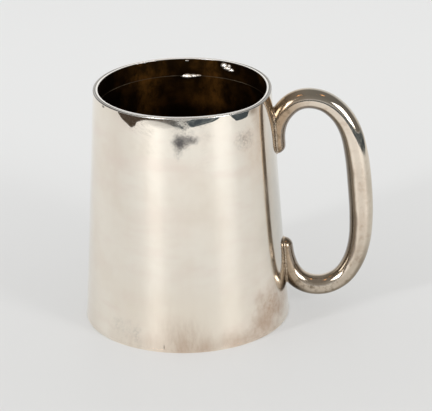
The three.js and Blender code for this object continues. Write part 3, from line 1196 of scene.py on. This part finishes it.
bm, corners, edges = draw_section(
    [
        (lining_radius(BAND_LOW) - BAND_THICKNESS, BAND_LOW),
        (lining_radius(BAND_LOW), BAND_LOW),
        (lining_radius(WALL_HIGH), WALL_HIGH),
        (drum_radius(WALL_HIGH), WALL_HIGH),
        (drum_radius(WALL_HIGH), LIP_TOP),
        (SEAM_RADIUS + SEAM_HALF_WIDTH, LIP_TOP),
        (SEAM_RADIUS, LIP_TOP - SEAM_DEPTH),
        (SEAM_RADIUS - SEAM_HALF_WIDTH, LIP_TOP),
        (LIP_INNER, LIP_TOP),
    ]
)
round_corners(bm, [corners[4]], LIP_OUTER_ROUND, segments=10)
round_corners(bm, [corners[5], corners[7]], SEAM_ROUND, segments=3)
round_corners(bm, [corners[8]], LIP_INNER_ROUND, segments=5)
spin_round(bm, ROUND_STEPS)
for face in bm.faces:
    centre = face.calc_center_median()
    out = Vector((centre.x - axis_x, centre.y, 0)).normalized()
    faces_in = face.normal.dot(out) < -MOSTLY and centre.z / MM < LIP_TOP - TOP_EDGE
    face.material_index = int(faces_in or face.normal.z < -MOSTLY)
press_down(bm)
shade(bm)
make_piece("lip_band", bm, [lip_silver, inside_tarnish_and_painted_light], ["rim_band"])

# %% [markdown]
# ## Foot ring
#
# The foot ring is an angle of silver: a leg inside the wall and a bead under the sheet's edge. The
# bead was filed flush with the sheet and has its colour, so the two look like one wall. Only its
# lower corner is rounded, by years of being put down.

# %% Foot ring
BEAD_TOP = 1.4
BEAD_PROUD = 0.02
LEG_TOP = 5.0
LEG_THICKNESS = 1.2
FOOT_ROUND = 0.12
LEG_ROUND = 0.3

leg_outer = lining_radius(LEG_TOP)
bm, corners, edges = draw_section(
    [
        (leg_outer - LEG_THICKNESS, 0),
        (drum_radius(0) + BEAD_PROUD, 0),
        (drum_radius(BEAD_TOP) + BEAD_PROUD, BEAD_TOP),
        (lining_radius(BEAD_TOP), BEAD_TOP),
        (leg_outer, LEG_TOP),
        (leg_outer - LEG_THICKNESS, LEG_TOP),
    ]
)
round_corners(bm, [corners[1]], FOOT_ROUND, segments=8)
round_corners(bm, [corners[0], corners[5]], LEG_ROUND, segments=4)
spin_round(bm, ROUND_STEPS)
shade(bm)
make_piece("foot_ring", bm, [drum_silver], ["foot_ring"])

# %% [markdown]
# ## Base
#
# The base is a disc that rests on the foot ring's leg, pressed up a little in the middle so that
# it doesn't rattle on a table. It could be a flat disc that is bent, but it is round too, so it is
# spun from its section like the rest.

# %% Base plate
BASE_LOW = 5.1
BASE_THICKNESS = 0.9
BASE_FLAT = 4.0
BASE_DOME = 2.0
DOME_STEPS = 14
BASE_STEPS = 180

base_high = BASE_LOW + BASE_THICKNESS
base_edge = lining_radius(base_high)
flat_from = base_edge - BASE_FLAT
shares = [step / DOME_STEPS for step in range(DOME_STEPS + 1)]
under = [(flat_from * share, BASE_LOW + BASE_DOME * (1 - share**2)) for share in shares]
over = [(radius, height + BASE_THICKNESS) for radius, height in reversed(under)]
bm, corners, edges = draw_section([*under, (base_edge, BASE_LOW), (base_edge, base_high), *over])
spin_round(bm, BASE_STEPS)
shade(bm)
make_piece("base_plate", bm, [inside_tarnish_and_painted_light], ["base_plate"])

# %% [markdown]
# The solder that seals the base is a small hollow fillet in the corner between disc and wall. Its
# section is a triangle whose long side is pulled in at its middle and rounded there.

# %% Solder round the base
BASE_FILLET = 1.0
FILLET_WAIST = 0.3
FILLET_ROUND = 0.5

bm, corners, edges = draw_section(
    [
        (lining_radius(base_high) - BASE_FILLET, base_high),
        (lining_radius(base_high), base_high),
        (lining_radius(base_high + BASE_FILLET), base_high + BASE_FILLET),
        (lining_radius(base_high) - FILLET_WAIST, base_high + FILLET_WAIST),
    ]
)
round_corners(bm, [corners[3]], FILLET_ROUND, segments=5)
spin_round(bm, BASE_STEPS)
shade(bm)
make_piece("base_solder", bm, [solder_silver], ["base_solder"])

# %% [markdown]
# ## Handle
#
# The handle is a hollow tube, bent to a loop, swelling in the grip and thinning to two round
# noses that lie on the wall. A curve with a bevel could make it, but its ends would be flat. Here
# one circle is extruded from station to station along the loop. First comes the loop itself, a
# smooth line through points given by their distance from the drum's axis and their height.

# %% Handle's centre line
HANDLE_LINE = [
    (43.9, 84.4), (43.7, 90.5), (44.7, 96.2), (47.4, 101.4), (52.6, 105.9), (58.8, 107.4),
    (66.7, 105.5), (73.8, 99.5), (78.6, 90.9), (81.5, 78.5), (83.1, 63.0), (83.8, 47.5),
    (82.9, 34.0), (79.8, 23.6), (74.6, 16.0), (66.9, 11.9), (59.3, 12.0), (53.6, 14.9),
    (50.0, 19.6), (47.9, 26.0), (46.9, 32.5),
]
SPAN_POINTS = 40


def bend_smoothly(points):
    """Points along a centripetal Catmull-Rom curve, each span drawn as a Bezier."""
    line = []
    ends = [2 * points[0] - points[1], *points, 2 * points[-1] - points[-2]]
    for a, b, c, d in zip(ends, ends[1:], ends[2:], ends[3:]):
        first, middle, last = (math.sqrt((q - p).length) for p, q in ((a, b), (b, c), (c, d)))
        leave = (b - a) / first - (c - a) / (first + middle) + (c - b) / middle
        arrive = (c - b) / middle - (d - b) / (middle + last) + (d - c) / last
        handle_b = b + leave * middle / 3
        handle_c = c - arrive * middle / 3
        line += interpolate_bezier(b, handle_b, handle_c, c, SPAN_POINTS)[:-1]
    return line + [points[-1]]


handle_points = [Vector((axis_x + reach * MM, 0, height * MM)) for reach, height in HANDLE_LINE]
handle_curve = bend_smoothly(handle_points)
travelled = [0.0]
for here, there in zip(handle_curve, handle_curve[1:]):
    travelled.append(travelled[-1] + (there - here).length)

print("handle is", round(travelled[-1] / MM, 1), "mm long")

# %% [markdown]
# The radius changes along the way: most in the middle of the grip, least at the tails. A share of
# the handle's length says where on it a point is, from the upper tail to the lower one.

# %% Radius, place and direction along the handle
HANDLE_RADIUS = 4.85
GRIP_RADIUS = 5.8
TAIL_RADIUS = 4.2
GRIP_CENTRE = 0.49
GRIP_REACH = 0.3
TAIL_REACH = 0.11
HEADING_REACH = 0.002
ROUNDING = 1e-12


def handle_radius(share):
    from_grip = min(1, abs(share - GRIP_CENTRE) / GRIP_REACH)
    swell = math.cos(math.pi / 2 * from_grip) ** 2
    from_end = min(1, min(share, 1 - share) / TAIL_REACH)
    thin = 1 - from_end * from_end * (3 - 2 * from_end)
    radius = HANDLE_RADIUS + (GRIP_RADIUS - HANDLE_RADIUS) * swell
    return (radius - (HANDLE_RADIUS - TAIL_RADIUS) * thin) * MM


def point_at(share):
    goal = share * travelled[-1]
    index = next(i for i, length in enumerate(travelled) if length >= goal - ROUNDING)
    index = max(index, 1)
    step = travelled[index] - travelled[index - 1]
    part = (goal - travelled[index - 1]) / step
    return handle_curve[index - 1].lerp(handle_curve[index], part)


def direction_at(share):
    ahead = point_at(min(1, share + HEADING_REACH))
    behind = point_at(max(0, share - HEADING_REACH))
    return (ahead - behind).normalized()


print("grip is", 2 * GRIP_RADIUS, "mm thick and a tail", 2 * TAIL_RADIUS, "mm")

# %% [markdown]
# A station is a matrix with a place, a direction and a radius, so the step from one to the next is
# one transform. At each end the stations close in on a quarter circle, which makes the round nose.

# %% Stations along the handle
HANDLE_STEPS = 280
NOSE_STEPS = 14


def station(centre, heading, radius):
    """Matrix that lays a circle of radius one across the handle at a station."""
    side = Vector((-heading.z, 0, heading.x))
    across = Vector((0, 1, 0))
    turned = Matrix((side, across, heading)).transposed().to_4x4()
    return Matrix.Translation(centre) @ turned @ Matrix.Scale(radius, 4)


def nose_station(end, step):
    """A station on the round nose at one end, counted from where the nose begins."""
    angle = math.pi / 2 * step / NOSE_STEPS
    beyond = direction_at(end) * (1 if end else -1)
    radius = handle_radius(end)
    centre = point_at(end) + beyond * radius * math.sin(angle)
    return station(centre, direction_at(end), radius * math.cos(angle))


shares = [step / HANDLE_STEPS for step in range(HANDLE_STEPS + 1)]
stations = [nose_station(0, step) for step in range(NOSE_STEPS - 1, 0, -1)]
stations += [station(point_at(share), direction_at(share), handle_radius(share)) for share in shares]
stations += [nose_station(1, step) for step in range(1, NOSE_STEPS)]

print("handle has", len(stations), "stations")

# %% [markdown]
# The tube starts as a circle at the first station, filled to close it. Its edge is extruded to
# each station in turn, and filled again at the last. On the way each point notes how far it faces
# into the loop, for the handle's tarnish.

# %% Tube through stations
TUBE_SIDES = 72


def build_tube(places):
    bm = bmesh.new()
    inward = bm.verts.layers.float.new("inward")
    bmesh.ops.create_circle(bm, segments=TUBE_SIDES, radius=1, matrix=places[0])
    moved = bm.verts[:]
    ring = bm.edges[:]
    bmesh.ops.edgeloop_fill(bm, edges=ring)
    for before, after in zip(places, places[1:] + places[-1:]):
        back = before.inverted()
        for vert in moved:
            vert[inward] = -(back @ vert.co).x
        if after is not before:
            grown = bmesh.ops.extrude_edge_only(bm, edges=ring)["geom"]
            moved = [item for item in grown if isinstance(item, bmesh.types.BMVert)]
            ring = [item for item in grown if isinstance(item, bmesh.types.BMEdge)]
            bmesh.ops.transform(bm, verts=moved, matrix=after @ back)
    bmesh.ops.edgeloop_fill(bm, edges=ring)
    bmesh.ops.recalc_face_normals(bm, faces=bm.faces)
    return bm


# %% [markdown]
# The inner side of each tail would stick through the wall into the mug, so the tube is cut by a
# plane that lies in the thickness of the sheet. One plane serves both tails, because the side of
# a cone is straight. The cut is filled, so that the handle is a closed skin.

# %% Handle tube
CUT_DEPTH = 0.45
WALL_POINT_HEIGHT = 60

taper = math.atan((FOOT_RADIUS - LIP_RADIUS) / HEIGHT)
wall_out = Vector((math.cos(taper), 0, math.sin(taper)))


def wall_point(depth):
    """A point in the sheet's thickness, as deep below its outer face as asked, in millimetres."""
    reach = drum_radius(WALL_POINT_HEIGHT) * MM
    on_face = Vector((axis_x + reach, 0, WALL_POINT_HEIGHT * MM))
    return on_face - wall_out * depth * MM


bm = build_tube(stations)
cut = bmesh.ops.bisect_plane(
    bm,
    geom=bm.verts[:] + bm.edges[:] + bm.faces[:],
    plane_co=wall_point(CUT_DEPTH),
    plane_no=wall_out,
    clear_inner=True,
)
rim = [item for item in cut["geom_cut"] if isinstance(item, bmesh.types.BMEdge)]
bmesh.ops.holes_fill(bm, edges=rim, sides=0)
bmesh.ops.recalc_face_normals(bm, faces=bm.faces)
shade(bm)
halves = ["handle_front_half", "handle_back_half"]
make_piece("handle_tube", bm, [handle_silver], halves)

# %% [markdown]
# Solder ran into the corner between each tail and the wall and set as a small hollow fillet. A
# bevel of that corner would need tail and wall to be one mesh, and they are separate pieces. So
# the fillet starts as the slice of the same tube that lies next to the wall, cut into rows.

# %% Slice of a tail by the wall
FILLET = 0.9
FILLET_ROWS = 6
SUNK = 0.2


def tail_slice(places):
    bm = build_tube(places)
    rows = [FILLET * row / FILLET_ROWS for row in range(FILLET_ROWS + 1)]
    for depth in [-SUNK, *rows]:
        bmesh.ops.bisect_plane(
            bm,
            geom=bm.verts[:] + bm.edges[:] + bm.faces[:],
            plane_co=wall_point(-depth),
            plane_no=wall_out,
            clear_inner=depth < 0,
            clear_outer=depth == FILLET,
        )
    bmesh.ops.recalc_face_normals(bm, faces=bm.faces)
    bm.normal_update()
    return bm


# %% [markdown]
# The slice is extruded, and the new skin is pushed away from the tube: most at the wall and not at
# all at its top edge, along a quarter circle, which makes the hollow.

# %% Solder round the tails
TAIL_STATIONS = 70
KEY_DIGITS = 7


def wall_gap(point):
    """Distance of a point from the drum's outer surface, in millimetres."""
    reach = math.hypot(point.x - axis_x, point.y) / MM
    return (reach - drum_radius(point.z / MM)) * math.cos(taper)


def solder_round_tail(name, places):
    bm = tail_slice(places)
    pushes = {}
    for vert in bm.verts:
        gap = min(max(wall_gap(vert.co), 0), FILLET)
        push = FILLET - math.sqrt(FILLET**2 - (FILLET - gap) ** 2)
        away = vert.normal - wall_out * vert.normal.dot(wall_out)
        pushes[vert.co.to_tuple(KEY_DIGITS)] = away.normalized() * push * MM
    grown = bmesh.ops.extrude_face_region(bm, geom=bm.faces[:], use_keep_orig=True)["geom"]
    for item in grown:
        if isinstance(item, bmesh.types.BMVert):
            item.co += pushes[item.co.to_tuple(KEY_DIGITS)]
    bmesh.ops.remove_doubles(bm, verts=bm.verts, dist=MERGE_WITHIN)
    bmesh.ops.recalc_face_normals(bm, faces=bm.faces)
    shade(bm)
    make_piece(name, bm, [solder_silver], [name])


solder_round_tail("upper_tail_solder", stations[:TAIL_STATIONS])
solder_round_tail("lower_tail_solder", stations[-TAIL_STATIONS:])

# %% [markdown]
# When the lip band was soldered in, a little solder ran out below its edge and smeared, and a lump
# stayed above it. They are the only bright things inside the mug. Each is a flattened sphere half
# sunk in the wall and tipped up a little, so that it catches a softbox.

# %% Solder smears inside
SMEAR_SUNK = 0.1
SMEARS = [
    # azimuth, height, half sizes along, out and up, turn, tip
    (177.6, 105.3, (3.3, 0.50, 1.20), -16, 21),
    (173.4, 105.4, (2.8, 0.50, 0.95), -12, 21),
    (169.9, 105.6, (2.0, 0.45, 0.60), -8, 21),
    (149.4, 112.3, (2.0, 0.7, 1.5), 12, 20),
    (147.0, 111.2, (2.6, 0.7, 1.3), 14, 20),
    (144.0, 110.5, (2.0, 0.6, 1.0), 16, 20),
    (145.6, 112.4, (1.2, 0.5, 0.9), 14, 20),
    (176.8, 113.1, (0.9, 0.3, 0.5), 0, -12),
]

bm = bmesh.new()
for azimuth, height, half, turn, tip in SMEARS:
    depth = BAND_THICKNESS + SMEAR_SUNK
    centre = from_front(azimuth, (lining_radius(height) - depth) * MM, height * MM)
    facing = Matrix.Rotation(math.radians(azimuth + turn), 4, "Z")
    tipped = Matrix.Rotation(math.radians(tip), 4, "X")
    size = Matrix.Diagonal((half[0] * MM, half[1] * MM, half[2] * MM, 1))
    place = Matrix.Translation(centre) @ facing @ tipped @ size
    bmesh.ops.create_uvsphere(bm, u_segments=40, v_segments=20, radius=1, matrix=place)
shade(bm)
make_piece("inside_solder_smears", bm, [smear_silver], [])
